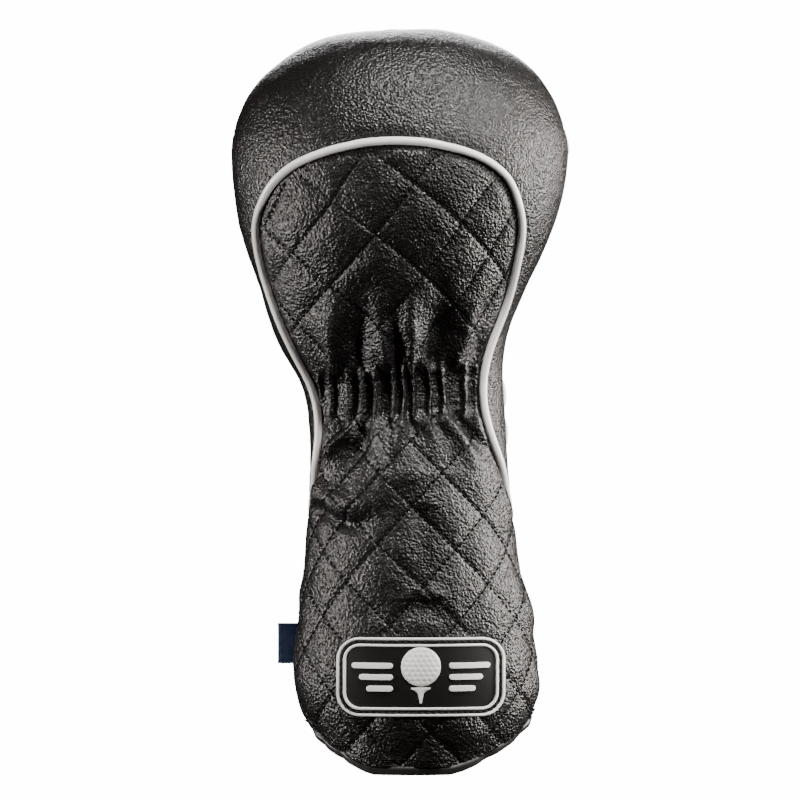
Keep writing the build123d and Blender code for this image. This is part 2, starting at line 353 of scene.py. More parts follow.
def make_lights():
    """Soft boxes over the crown and at each side, with little light from the camera's side."""
    area_light("light_top", (0.26, -0.48, 1.10), (0, 0, 0.22), (0.12, 0.10), 20, (1, 0.97, 0.94))
    area_light("light_edge", (0.78, 0.10, 0.26), (0, 0, 0.16), (0.12, 0.6), 20, (1, 0.94, 0.90))
    area_light("light_right", (0.74, -0.66, 0.46), (0, 0, 0.12), (0.10, 0.24), 7.5, (1, 0.95, 0.91))
    area_light("light_left", (-0.80, -0.13, 0.10), (0, 0, 0.12), (0.10, 0.36), 11, (1, 0.94, 0.90))
    area_light("light_front", (0.10, -1.15, 1.25), (0, 0, 0.06), (0.14, 0.12), 3.5, (1, 0.95, 0.91))
    area_light("light_behind", (0.0, 0.9, 0.7), (0, 0, 0.15), (0.5, 0.4), 9)
    world = bpy.data.worlds.new("studio")
    bpy.context.scene.world = world
    world.use_nodes = True
    background = world.node_tree.nodes["Background"]
    background.inputs["Color"].default_value = (1, 1, 1, 1)
    background.inputs["Strength"].default_value = 0.008


def make_stage():
    """A pale floor that sweeps up into a backdrop all round, seen but hardly lighting the cover."""
    steps = 64
    profile = [(0.0, 0.0), (2.6, 0.0), (3.2, 0.12), (3.6, 0.5), (3.8, 1.2), (3.8, 4.0)]
    points = []
    for radius, height in profile[1:]:
        for step in range(steps):
            turn = 2 * math.pi * step / steps
            points.append((radius * math.cos(turn), radius * math.sin(turn), height))
    faces = grid_faces(len(profile) - 1, steps, wrap_columns=True)
    faces.append(list(range(steps)))
    stage = mesh_object("floor", points, faces)
    stage.data.materials.append(stage_material())
    stage.visible_glossy = False
    stage.visible_diffuse = False


# ---------------------------------------------------------------- materials

class Look:
    """A material on the Principled shader, with short ways to add what it needs."""

    def __init__(self, name):
        self.material = bpy.data.materials.new(name)
        self.material.use_nodes = True
        self.tree = self.material.node_tree
        self.shader = self.tree.nodes["Principled BSDF"]
        self.place = self.add("ShaderNodeTexCoord").outputs["Object"]

    def fill(self, socket, value):
        """Give a socket a value, or link another node's output to it."""
        if isinstance(value, bpy.types.NodeSocket):
            self.tree.links.new(value, socket)
        else:
            socket.default_value = value

    def add(self, kind, settings=None, **inputs):
        """A node with its settings and inputs; i0, i1 and so on are inputs by number."""
        node = self.tree.nodes.new(kind)
        for key, value in (settings or {}).items():
            setattr(node, key, value)
        for key, value in inputs.items():
            self.fill(node.inputs[int(key[1:]) if key[1:].isdigit() else key], value)
        return node

    def noise(self, scale, detail, roughness=0.5):
        return self.add("ShaderNodeTexNoise", Vector=self.place, Scale=scale, Detail=detail,
                        Roughness=roughness).outputs["Fac"]

    def wave(self, direction, scale, distortion):
        return self.add("ShaderNodeTexWave", {"bands_direction": direction}, Vector=self.place, Scale=scale,
                        Distortion=distortion).outputs["Fac"]

    def weigh(self, value, weight, rest):
        """value times weight, plus rest."""
        return self.add("ShaderNodeMath", {"operation": "MULTIPLY_ADD"}, i0=value, i1=weight, i2=rest).outputs[0]

    def bump(self, height, strength, distance):
        node = self.add("ShaderNodeBump", Strength=strength, Distance=distance, Height=height)
        self.fill(self.shader.inputs["Normal"], node.outputs["Normal"])

    def colour(self, share, dark, light):
        """Base colour between two, by a 0 to 1 share."""
        node = self.add("ShaderNodeMix", {"data_type": "RGBA"})
        socket = {s.identifier: s for s in node.inputs}
        self.fill(socket["Factor_Float"], share)
        self.fill(socket["A_Color"], (*dark, 1))
        self.fill(socket["B_Color"], (*light, 1))
        self.fill(self.shader.inputs["Base Color"], node.outputs[2])
        return node.outputs[2]

    def finish(self, roughness, **values):
        """Set the roughness and other shader values, whose names have _ for a space."""
        self.fill(self.shader.inputs["Roughness"], roughness)
        for key, value in values.items():
            self.fill(self.shader.inputs[key.replace("_", " ")], value)
        return self.material


def stage_material():
    look = Look("pale_floor")
    cloud = look.add("ShaderNodeTexNoise", Scale=3.0).outputs["Fac"]
    colour = look.colour(cloud, (0.93, 0.93, 0.93), (0.96, 0.96, 0.96))
    return look.finish(0.9, Emission_Color=colour, Specular_IOR_Level=0.0, Emission_Strength=16.0)


def leather_material(name):
    """Black pebble-grain leather: small rounded pebbles, fine pores, soft sheen and rubbed high spots."""
    look = Look(name)
    warp = look.add("ShaderNodeTexNoise", Vector=look.place, Scale=260.0, Detail=2.0).outputs["Color"]
    where = look.add("ShaderNodeVectorMath", {"operation": "MULTIPLY_ADD"}, i0=warp, i1=(0.0011,) * 3,
                     i2=look.place).outputs[0]
    pebbles = look.add("ShaderNodeTexVoronoi", {"feature": "SMOOTH_F1"}, Vector=where, Scale=900.0,
                       Smoothness=0.3).outputs["Distance"]
    coarse = look.add("ShaderNodeTexVoronoi", {"feature": "F1"}, Vector=where, Scale=430.0).outputs["Distance"]
    pores, folds, patches = look.noise(2600.0, 3.0, 0.65), look.noise(120.0, 4.0, 0.6), look.noise(22.0, 5.0, 0.6)
    height = look.weigh(coarse, -0.4, look.weigh(pebbles, -1.0, folds))
    look.bump(look.weigh(pores, 0.28, height), 1.0, 0.00042)
    look.colour(patches, (0.0035, 0.0032, 0.003), (0.009, 0.008, 0.0075))
    rough = look.add("ShaderNodeMapRange", i0=pebbles, i1=0.1, i2=0.75, i3=0.22, i4=0.38)
    return look.finish(rough.outputs[0], Specular_IOR_Level=0.5)


def smooth_leather_material():
    """Fine smooth leather for the turned edge."""
    look = Look("binding")
    folds = look.noise(160.0, 2.0)
    look.bump(look.weigh(look.noise(1500.0, 4.0), 0.3, folds), 0.6, 0.0003)
    look.colour(folds, (0.008, 0.0075, 0.007), (0.016, 0.015, 0.014))
    return look.finish(0.45, Specular_IOR_Level=0.5)


def piping_material():
    """White coated piping: glossy, faintly mottled and a little soiled."""
    look = Look("white_piping")
    look.bump(look.noise(1400.0, 3.0), 0.25, 0.0002)
    look.colour(look.noise(90.0, 4.0, 0.7), (0.80, 0.78, 0.77), (0.95, 0.94, 0.94))
    return look.finish(0.32, Coat_Weight=0.35, Coat_Roughness=0.18)


def fibre_material(name):
    """Pale bonded fibre: matt, loose and uneven."""
    look = Look(name)
    fibre = look.noise(700.0, 5.0)
    look.bump(fibre, 0.7, 0.0006)
    look.colour(fibre, (0.55, 0.53, 0.50), (0.78, 0.76, 0.72))
    return look.finish(0.95)


def plush_material(name):
    """Dark short-pile lining with a soft sheen."""
    look = Look(name)
    pile = look.noise(1300.0, 3.0, 0.7)
    look.bump(look.weigh(look.noise(140.0, 3.0), 0.6, pile), 0.9, 0.0008)
    look.colour(pile, (0.012, 0.012, 0.013), (0.045, 0.044, 0.046))
    return look.finish(0.95, Sheen_Weight=0.5, Sheen_Roughness=0.5)


def thread_material(name, dark, light):
    """Twisted sewing thread: slanting plies with a slight sheen."""
    look = Look(name)
    twist = look.wave("DIAGONAL", 900.0, 1.5)
    look.bump(twist, 0.6, 0.0002)
    look.colour(twist, dark, light)
    return look.finish(0.8, Specular_IOR_Level=0.12)


def rubber_material():
    """Dark moulded rubber with a fine matt texture."""
    look = Look("badge_black")
    look.bump(look.noise(1800.0, 3.0), 0.35, 0.0002)
    look.colour(look.noise(60.0, 3.0), (0.003, 0.003, 0.003), (0.007, 0.0065, 0.006))
    return look.finish(0.55, Specular_IOR_Level=0.22)


def moulded_white_material():
    """White moulded relief, slightly chalky and handled."""
    look = Look("badge_white")
    look.bump(look.noise(2200.0, 2.0), 0.25, 0.0002)
    look.colour(look.noise(240.0, 4.0), (0.80, 0.78, 0.75), (0.95, 0.94, 0.92))
    return look.finish(0.5)


def ribbon_material():
    """Blue satin ribbon: a fine weave, with broad darker patches painted in as the shade of dents."""
    look = Look("blue_ribbon")
    look.bump(look.weigh(look.wave("X", 900.0, 0.4), 0.5, look.wave("Z", 1100.0, 0.4)), 0.5, 0.0002)
    # Painted shade: broad noise patches darken the blue where dents would be shaded; the ribbon's shape itself has no
    # dents.
    look.colour(look.noise(130.0, 3.0), (0.0015, 0.010, 0.045), (0.004, 0.026, 0.11))
    return look.finish(0.42)


def satin_material():
    """White satin stitch: glossy strands, with a painted highlight along each strand and painted grey shade between
    them.
    """
    look = Look("white_embroidery")
    strands_with_painted_light = look.wave("DIAGONAL", 520.0, 2.0)
    look.bump(strands_with_painted_light, 0.4, 0.0002)
    # Painted light: the strand pattern also sets the colour, lighter on each strand as a painted highlight and grey
    # between strands as painted shade.
    look.colour(strands_with_painted_light, (0.66, 0.65, 0.64), (0.92, 0.92, 0.91))
    return look.finish(0.38, Sheen_Weight=0.2)


# ---------------------------------------------------------------- shape of the quilted back

MIDDLE_X = 9.4 * MM           # line that the skirt, its badge and its centre fold share
GATHER_TOP = (168.8 * MM, 0.071)      # height at x = 0 and slope of the upper gather row
GATHER_LOW = (156.0 * MM, 0.100)      # the same for the lower one
PLEATS = (-35, -30, -23, -17, -11, -3, 1, 5, 12, 18, 27, 32, 37)

# Quilting. Heights in millimetres where each family's lines cross the middle of the back: closer over the
# gathered neck and the skirt, wider over the padded head. Then how steeply they run, by height.
FALLING_HEIGHTS = (-36, -6, 22, 50, 80, 110, 137, 172, 213, 248, 284, 320)
RISING_HEIGHTS = (-46, -16, 15, 48, 80, 120, 148, 165, 184, 212, 256, 296, 332)
STEEPNESS_HEIGHTS = (0, 60, 110, 160, 200, 240, 280)
FALLING_STEEPNESS = (1.0, 1.0, 0.95, 1.1, 0.95, 0.8, 0.75)
RISING_STEEPNESS = (1.1, 1.15, 1.1, 1.0, 1.15, 1.35, 1.2)

# Folds of the gathered back: points (x, z) in millimetres, height, width at the start and at the end.
FOLDS = [
    ([(-28, 153), (-30, 143), (-31, 132)], 2.4, 4, 6),
    ([(-21, 154), (-22, 147), (-36, 130)], 2.2, 1.5, 2.2),
    ([(-18, 155), (-17, 143), (-33, 123)], -4.0, 3.2, 5),
    ([(-9, 156), (-12, 145), (-10, 134), (-4, 122)], 2.4, 1.4, 3),
    ([(-5, 156), (-4, 138)], -1.8, 1.8, 3),
    ([(-39, 124), (-24, 115), (-9, 122)], 3.2, 4, 6),
    ([(-38, 114), (-22, 107), (-4, 112)], -2.4, 2.4, 4),
    ([(-1, 156), (0, 140)], 1.8, 1.3, 3),
    ([(4, 157), (6, 141)], -2.0, 1.8, 3),
    ([(9, 157), (15, 140)], 1.9, 1.3, 2.2),
    ([(13, 158), (25, 144), (35, 124)], 2.8, 2.2, 5),
    ([(21, 158), (28, 147), (37, 138)], -3.8, 2.4, 3.4),
    ([(28, 160), (35, 150), (43, 132)], 2.2, 1.8, 4),
    ([(5, 132), (6, 122)], 1.2, 10, 13),
    ([(9, 116), (9, 84)], -1.6, 4, 6),
    ([(9, 81), (-8, 66)], 1.2, 3, 4),
    ([(9, 81), (27, 66)], 1.2, 3, 4),
    ([(9, 76), (9, 64)], -1.6, 8, 12),
    ([(-28, 169), (-30, 185), (-29, 203)], 2.2, 2.2, 6),
    ([(-17, 169), (-18, 188), (-14, 206)], -3.6, 3, 7),
    ([(-6, 169), (-7, 185), (-10, 202)], 2.4, 1.8, 4.5),
    ([(-2, 169), (-3, 196)], -2.4, 1.6, 3),
    ([(4, 169), (4, 210)], 2.6, 1.9, 5),
    ([(14, 171), (16, 188), (17, 206)], -4.0, 3.4, 7),
    ([(22, 171), (25, 182), (33, 207)], 2.4, 1.8, 4.5),
    ([(30, 171), (37, 192)], -2.0, 2, 3.6),
]


def fold_heights(x, z):
    """Raised and sunk folds of the back at places x, z, in metres."""
    flat = np.stack([x, np.zeros(x.shape), z], 1)
    x = x + 0.9 * MM * fractal(flat, 11 * MM, 2, 6.0)
    z = z + 0.9 * MM * fractal(flat, 11 * MM, 2, 7.0)
    total = np.zeros(x.shape)
    for line, height, first_width, last_width in FOLDS:
        path = smooth_path(np.array(line) * MM, 1.5 * MM)
        gap = np.hypot(x[:, None] - path[None, :, 0], z[:, None] - path[None, :, 1])
        nearest = gap.argmin(1)
        share = nearest / (len(path) - 1)
        width = (first_width + (last_width - first_width) * share) * MM
        fade = smooth_step(share, -0.02, 0.10) * (1 - 0.75 * smooth_step(share, 0.45, 1.0))
        total += height * MM * fade * np.exp(-((gap.min(1) / width) ** 2))
    return total


def pleat_heights(x):
    """Cross-section of the gathered band: narrow steep ridges between flat valleys."""
    gap = np.abs(x[:, None] - np.array(PLEATS)[None, :] * MM).min(1)
    return (2.5 * np.exp(-((gap / (0.95 * MM)) ** 2)) - 0.9) * MM


class Unroll:
    """Distance round the skin from the middle of the back, and the way back to an angle."""

    def __init__(self):
        self.angles = np.arange(-130.0, 131.0, 2.0)
        self.rows = np.arange(0, skin.top_row + 0.01, 1.0)
        grid = skin.at(self.angles[None, :], self.rows[:, None])
        steps = np.linalg.norm(np.diff(grid, axis=1), axis=2)
        self.along = np.concatenate([np.zeros((len(self.rows), 1)), np.cumsum(steps, axis=1)], axis=1)
        middle = len(self.angles) // 2
        self.along += (grid[:, middle, 0] - self.along[:, middle])[:, None]
        self.height = grid[:, :, 2]

    def read(self, table, angle, row):
        """A table's value at each place, between its angles and rows."""
        r = np.clip(row, 0, len(self.rows) - 1.001)
        a = np.clip((angle - self.angles[0]) / 2, 0, len(self.angles) - 1.001)
        r0, a0 = r.astype(int), a.astype(int)
        fr, fa = r - r0, a - a0
        low = table[r0, a0] * (1 - fa) + table[r0, a0 + 1] * fa
        high = table[r0 + 1, a0] * (1 - fa) + table[r0 + 1, a0 + 1] * fa
        return low * (1 - fr) + high * fr

    def across(self, angle, row):
        return self.read(self.along, angle, row)

    def place(self, s, z):
        """Angles and rows of the places that lie s across and z up."""
        row = z / skin.STEP
        angle = np.zeros(s.shape)
        for _ in range(4):
            for i in range(len(s)):
                r = min(max(row[i], 0), len(self.rows) - 1.001)
                r0, f = int(r), r - int(r)
                line = self.along[r0] * (1 - f) + self.along[r0 + 1] * f
                angle[i] = np.interp(s[i], line, self.angles)
            over = z > (skin.level_rows - 1) * skin.STEP
            if not over.any():
                break
            error = z - self.read(self.height, angle, row)
            row = row + np.where(over, error / skin.STEP, 0)
        return angle, row


unroll = Unroll()


class QuiltLines:
    """One family of quilting lines; turn is 1 where they fall to the right and -1 where they rise."""

    def __init__(self, turn, heights, steepness):
        self.turn = turn
        self.heights = np.array(heights) * MM
        self.steepness = steepness

    def slope(self, z):
        return self.turn * np.interp(z, np.array(STEEPNESS_HEIGHTS) * MM, self.steepness)

    def gap(self, s, z):
        """Distance to the nearest line."""
        at_middle = z + self.slope(z) * (s - MIDDLE_X)
        nearest = np.abs(at_middle[:, None] - self.heights[None, :]).min(1)
        return nearest / np.hypot(1, self.slope(z))

    def trace(self, level, z):
        """Where the line numbered level lies across the back, at each height."""
        return MIDDLE_X + (self.heights[level] - z) / self.slope(z)


falling = QuiltLines(1, FALLING_HEIGHTS, FALLING_STEEPNESS)
rising = QuiltLines(-1, RISING_HEIGHTS, RISING_STEEPNESS)


def quilt_heights(s, z):
    """Pillows between the quilting lines, with a narrow groove along each line."""
    first, second = falling.gap(s, z), rising.gap(s, z)
    pillow = (1 - np.exp(-((first / (4.5 * MM)) ** 2))) * (1 - np.exp(-((second / (4.5 * MM)) ** 2)))
    groove = np.exp(-((first / (0.65 * MM)) ** 2)) + np.exp(-((second / (0.65 * MM)) ** 2))
    return (0.75 * pillow - 0.65 * groove) * MM


BADGE_CENTRE = (8.4 * MM, 42.4 * MM)
BADGE_SIZE = (70.0 * MM, 33.6 * MM)
BADGE_CORNER = 10.0 * MM


def rounded_distance(x, z, half_x, half_z, corner):
    """Signed distance to a rounded rectangle round the origin, negative inside it."""
    reach_x = np.abs(x) - (half_x - corner)
    reach_z = np.abs(z) - (half_z - corner)
    outside = np.hypot(np.maximum(reach_x, 0), np.maximum(reach_z, 0))
    return outside + np.minimum(np.maximum(reach_x, reach_z), 0) - corner


def badge_distance(x, z):
    """Signed distance to the badge's outline."""
    width, height = BADGE_SIZE
    return rounded_distance(x - BADGE_CENTRE[0], z - BADGE_CENTRE[1], width / 2, height / 2, BADGE_CORNER)


def under_badge(x, z):
    """1 under the badge, fading to 0 just outside it."""
    return 1 - smooth_step(badge_distance(x, z), -1.5 * MM, 1.5 * MM)


def gather_height(gather_row, x):
    """Height of one of the two gather rows at x."""
    base, slope = gather_row
    return base + slope * x


def seam_edge(points):
    """Distance to the seam, 1 away from it fading to 0 at it, and the dip in which the seam lies."""
    edge = seam.distance(points)
    return edge, smooth_step(edge, 0.5 * MM, 7 * MM), 1.3 * MM * np.exp(-((edge / (1.5 * MM)) ** 2))


def back_heights(points, angle, row):
    """How far the quilted back stands off the skin at each place."""
    x, z = points[:, 0], points[:, 2]
    top, low = gather_height(GATHER_TOP, x), gather_height(GATHER_LOW, x)
    wander = fractal(np.stack([x, 0 * x, 0 * x], 1), 9 * MM, 2, 9.0)
    sway = 1.2 * MM * fractal(np.stack([x, 0 * x, z], 1), 14 * MM, 2, 10.0)
    below = smooth_step(z, low - (9 + 5 * wander) * MM, low - 1 * MM)
    in_band = below * (1 - smooth_step(z, top + 0.5 * MM, top + (8 - 4 * wander) * MM))
    rows_pull = bump_at(z, top, 0.9 * MM) + 0.6 * bump_at(z, low, 0.9 * MM)
    from_band = np.minimum(np.abs(z - top), np.abs(z - low))
    quilt_share = 0.35 + 0.65 * smooth_step(from_band, 6 * MM, 30 * MM)
    quilt_share = quilt_share * (1 - 0.75 * in_band)
    height = fold_heights(x, z) * (1 - in_band)
    height += (pleat_heights(x + sway) - 0.6 * MM) * in_band - 0.4 * MM * rows_pull
    height += quilt_heights(unroll.across(angle, row), z) * quilt_share * (1 - under_badge(x, z))
    height += 0.55 * MM * fractal(points, 34 * MM, 2, 1.0) + 0.22 * MM * fractal(points, 9 * MM, 3, 2.0)
    _, inner, dip = seam_edge(points)
    return height * inner + 0.5 * MM * inner - dip


def front_heights(points, angle, row):
    """How far the plain front stands off the skin: soft swells, and small puckers along the seam."""
    edge, inner, dip = seam_edge(points)
    swell = 0.7 * MM * fractal(points, 55 * MM, 2, 3.0) + 0.30 * MM * fractal(points, 14 * MM, 3, 4.0)
    puckers = 0.35 * MM * fractal(points * np.array([1.0, 1.0, 1.6]), 5 * MM, 1, 5.0) * np.exp(-edge / (9 * MM))
    return (swell + 0.4 * MM) * inner + puckers * inner - dip


LEATHER = 1.2 * MM


def shell_object(name, outer, inner, rows, columns, welded_from=None):
    """A thin closed piece from the grids of its outer and inner faces.

    From row welded_from up, the first and last columns are one, and the last row closes to a point.
    """
    count = rows * columns
    index = np.arange(count).reshape(rows, columns)
    if welded_from is not None:
        index[welded_from:, -1] = index[welded_from:, 0]
    low, right = index[:-1, :-1], index[:-1, 1:]
    high, high_right = index[1:, :-1], index[1:, 1:]
    quads = np.stack([low, right, high_right, high], -1).reshape(-1, 4)
    faces = quads.tolist() + (quads[:, ::-1] + count).tolist()
    side_rows = rows if welded_from is None else welded_from + 1
    rim = index[:side_rows, 0][::-1].tolist() + index[0, 1:].tolist() + index[1:side_rows, -1].tolist()
    if welded_from is None:
        rim += index[-1, ::-1][1:].tolist()
    for a, b in zip(rim, rim[1:]):
        faces.append([b, a, a + count, b + count])
    points = np.vstack([outer, inner])
    if welded_from is not None:
        caps = [outer[-columns:].mean(0), inner[-columns:].mean(0)]
        points = np.vstack([points, caps])
        ring = index[-1].tolist()
        for a, b in zip(ring, ring[1:]):
            faces.append([a, b, 2 * count])
            faces.append([b + count, a + count, 2 * count + 1])
    piece = mesh_object(name, points, faces)
    fix_normals(piece)
    return piece


def panel_object(name, outer, inner, rows, columns):
    """A thin closed sheet with a fine outer face and an inner face of every second point.

    Both counts are odd, so that the two faces share their corners.
    """
    fine = np.arange(rows * columns).reshape(rows, columns)
    kept = inner.reshape(rows, columns, 3)[::2, ::2]
    coarse = np.arange(kept.shape[0] * kept.shape[1]).reshape(kept.shape[:2]) + rows * columns
    faces = grid_faces(rows, columns)
    faces += [quad[::-1] for quad in grid_faces(*kept.shape[:2], start=rows * columns)]
    for edge, inside in ((fine[0], coarse[0]), (fine[-1, ::-1], coarse[-1, ::-1]),
                         (fine[::-1, 0], coarse[::-1, 0]), (fine[:, -1], coarse[:, -1])):
        for k in range(len(inside) - 1):
            faces.append([edge[2 * k + 2], edge[2 * k + 1], edge[2 * k], inside[k], inside[k + 1]])
    faces = [[int(v) for v in face] for face in faces]
    piece = mesh_object(name, np.vstack([outer, kept.reshape(-1, 3)]), faces)
    fix_normals(piece)
    return piece


def fix_normals(piece):
    """Drop a closed piece's unused points and turn every face outwards."""
    work = bmesh.new()
    work.from_mesh(piece.data)
    bmesh.ops.delete(work, geom=[v for v in work.verts if not v.link_faces], context="VERTS")
    bmesh.ops.recalc_face_normals(work, faces=work.faces)
    work.to_mesh(piece.data)
    work.free()


HEM_FADE = 24.0              # rows above the hem over which a panel's rows turn level


def panel_places(rows, columns, left, right, last_row):
    """Angles and rows of a grid between two side lines, its lowest row lying along the hem."""
    base = np.linspace(0, last_row, rows)[:, None]
    share = np.linspace(0, 1, columns)[None, :]
    angle = left(base) + (right(base) - left(base)) * share
    row = base + hem.row(angle) * np.clip(1 - base / HEM_FADE, 0, 1)
    angle = left(row) + (right(row) - left(row)) * share
    return angle.ravel(), row.ravel()


class Layered:
    """The grid of one panel, with its heights, from which each of its layers is made."""

    def __init__(self, rows, columns, left, right, last_row, heights, welded=False):
        self.rows, self.columns = rows, columns
        self.angle, self.row = panel_places(rows, columns, left, right, last_row)
        self.point, self.normal = skin.frame_at(self.angle, self.row)
        self.height = heights(self.point, self.angle, self.row)
        self.welded_from = None
        if welded:
            base = np.linspace(0, last_row, rows)
            self.welded_from = int(np.argmax(base > seam.top_row + 0.01))

    def layer(self, name, outer_depth, inner_depth):
        """One closed layer between two depths below the displaced leather's outer face."""
        outer = self.point + self.normal * (self.height - outer_depth)[:, None]
        inner = self.point + self.normal * (self.height - inner_depth)[:, None]
        return shell_object(name, outer, inner, self.rows, self.columns, self.welded_from)

    def leather(self, name):
        """The leather itself, finest on its outer face."""
        outer = self.point + self.normal * self.height[:, None]
        inner = self.point + self.normal * (self.height - LEATHER)[:, None]
        return panel_object(name, outer, inner, self.rows, self.columns)

    def coarse(self, step):
        """The same grid with fewer points, kept below the fine one's folds."""
        copy = object.__new__(Layered)
        keep_rows = np.unique(np.append(np.arange(0, self.rows, step), self.rows - 1))
        keep_columns = np.unique(np.append(np.arange(0, self.columns, step), self.columns - 1))
        grid = self.height.reshape(self.rows, self.columns)
        padded = np.pad(grid, step, mode="edge")
        span = range(2 * step + 1)
        lowest = np.min([padded[i:i + self.rows, j:j + self.columns] for i in span for j in span], axis=0)
        pick = np.ix_(keep_rows, keep_columns)
        copy.rows, copy.columns = len(keep_rows), len(keep_columns)
        copy.height = lowest[pick].ravel()
        copy.point = self.point.reshape(self.rows, self.columns, 3)[pick].reshape(-1, 3)
        copy.normal = self.normal.reshape(self.rows, self.columns, 3)[pick].reshape(-1, 3)
        copy.welded_from = None
        if self.welded_from is not None:
            copy.welded_from = int(np.argmax(keep_rows >= self.welded_from))
        return copy


def finish_piece(piece, material, nodes, body=ROOT):
    """Give a piece its material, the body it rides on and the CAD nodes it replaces."""
    piece.data.materials.append(material)
    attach(piece, body)
    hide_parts(*nodes)


WADDING = (1.4 * MM, 4.3 * MM)
LINING = (4.4 * MM, 5.9 * MM)


def make_back():
    """Quilted leather, wadding and lining of the back."""
    grid = Layered(381, 201, seam.left, seam.right, seam.top_row - 0.02, back_heights)
    panel = grid.leather("back_panel_quilted")
    finish_piece(panel, leather_material("quilted_leather"), ["back_panel"])
    coarse = grid.coarse(4)
    wadding = coarse.layer("back_wadding_pad", *WADDING)
    finish_piece(wadding, fibre_material("wadding"), ["back_wadding"])
    lining = coarse.layer("back_lining_plush", *LINING)
    finish_piece(lining, plush_material("back_plush"), ["back_lining"])


def make_front():
    """Plain leather, foam and lining of the front."""
    grid = Layered(188, 228, seam.right, lambda r: seam.left(r) + 360, skin.top_row - 0.15, front_heights, True)
    panel = grid.layer("front_panel_leather", 0, LEATHER)
    finish_piece(panel, leather_material("leather"), ["front_panel"])
    coarse = grid.coarse(4)
    foam = coarse.layer("front_foam_pad", *WADDING)
    finish_piece(foam, fibre_material("foam"), ["front_foam"])
    lining = coarse.layer("front_lining_plush", *LINING)
    finish_piece(lining, plush_material("front_plush"), ["front_lining"])


PIPING_RADIUS = 1.75 * MM
FILLER_RADIUS = 1.1 * MM
PIPING_PROUD = 0.9 * MM
PIPING_SUNK = 2.2 * MM                # how much deeper the piping lies in the side seams, below PIPING_RISES
PIPING_RISES = (118 * MM, 136 * MM)


def tube_object(name, path, radius, sides):
    """A round tube along a path of closely spaced points."""
    ahead = unit(np.gradient(path, axis=0))
    side = np.zeros_like(path)
    current = unit(np.cross(ahead[0], (0, 1, 0.3)))
    for index, direction in enumerate(ahead):
        current = unit(current - direction * np.dot(current, direction))
        side[index] = current
    other = np.cross(ahead, side)
    turn = np.arange(sides) * 2 * math.pi / sides
    ring = side[:, None, :] * np.cos(turn)[None, :, None] + other[:, None, :] * np.sin(turn)[None, :, None]
    points = (path[:, None, :] + ring * radius).reshape(-1, 3)
    faces = grid_faces(len(path), sides, wrap_columns=True)
    faces.append(list(range(sides))[::-1])
    faces.append([(len(path) - 1) * sides + k for k in range(sides)])
    return mesh_object(name, points, faces)


def above_binding(angle, row, spare):
    """Whether a place is above the leather's lower edge by at least spare."""
    return row > hem.row(angle) + spare / skin.STEP


def make_piping():
    """White piping round its filler cord, from hem to hem over the arch."""
    keep = above_binding(seam.places[:, 0], seam.places[:, 1], -2.5 * MM)
    places = seam.places[keep]
    point, normal = skin.frame_at(places[:, 0], places[:, 1])
    sunk = PIPING_SUNK * (1 - smooth_step(point[:, 2], *PIPING_RISES))
    path = smooth_path(point + normal * (PIPING_PROUD - sunk)[:, None], 0.8 * MM)
    piping = tube_object("piping_white", path, PIPING_RADIUS, 20)
    finish_piece(piping, piping_material(), ["piping_cover"])
    cord = tube_object("piping_filler", path, FILLER_RADIUS, 10)
    finish_piece(cord, fibre_material("cotton"), ["piping_cord"])


# ---------------------------------------------------------------- thread

STITCH_LENGTH = 2.1 * MM
STITCH_PITCH = 2.8 * MM
STITCH_RADIUS = 0.33 * MM


def stitches_object(name, starts, ends, normals):
    """Short rounded threads, each from one point to another, arching a little off the surface."""
    rings, sides = 6, 6
    share = np.linspace(0, 1, rings)
    swell = np.sin(np.pi * (0.06 + 0.88 * share)) ** 0.45
    turn = np.arange(sides) * 2 * math.pi / sides
    points, faces = [], []
    for start, end, normal in zip(starts, ends, normals):
        ahead = unit(end - start)
        side = unit(np.cross(ahead, normal))
        out = np.cross(side, ahead)
        first = len(points)
        for f, s in zip(share, swell):
            lift = STITCH_RADIUS * (1.6 * math.sin(math.pi * f) + 0.1)
            middle = start + (end - start) * f + out * lift
            for t in turn:
                points.append(middle + (side * math.cos(t) + out * math.sin(t)) * STITCH_RADIUS * s)
        faces += [[v + first for v in quad] for quad in grid_faces(rings, sides, wrap_columns=True)]
        faces.append([first + k for k in range(sides)][::-1])
        faces.append([first + (rings - 1) * sides + k for k in range(sides)])
    return mesh_object(name, points, faces)


def stitch_ends(path, normals, length=STITCH_LENGTH, pitch=STITCH_PITCH):
    """Starts, ends and normals of the stitches along one line of points."""
    along = length_along(path)
    begin = np.arange(0.3 * pitch, along[-1] - length, pitch)
    if not len(begin):
        return np.zeros((0, 3)), np.zeros((0, 3)), np.zeros((0, 3))

    def at(distance, values):
        return np.stack([np.interp(distance, along, values[:, k]) for k in range(3)], 1)

    return at(begin, path), at(begin + length, path), unit(at(begin + length / 2, normals))


def sew(name, lines, node, thread, **sizes):
    """Stitches along several lines as one piece; thread holds its material's name and two colours."""
    parts = [stitch_ends(path, normals, **sizes) for path, normals in lines if len(path) > 2]
    starts, ends, normals = (np.vstack([part[k] for part in parts]) for k in range(3))
    stitches = stitches_object(name, starts, ends, normals)
    finish_piece(stitches, thread_material(*thread), [node])


def on_back(angle, row):
    """Points on the finished back leather, and normals."""
    point, normal = skin.frame_at(angle, row)
    return point + normal * back_heights(point, angle, row)[:, None], normal


def runs_of(keep):
    """Slices of the unbroken stretches where keep is true."""
    edges = np.flatnonzero(np.diff(np.concatenate([[0], keep.astype(int), [0]])))
    return [slice(a, b) for a, b in zip(edges[::2], edges[1::2])]


def in_back(angle, row, margin):
    """Whether places are on the quilted back, at least margin from its seam."""
    inside = (angle > seam.left(row)) & (angle < seam.right(row)) & (row < seam.top_row)
    point = skin.at(angle, row)
    return inside & (seam.distance(point) > margin)


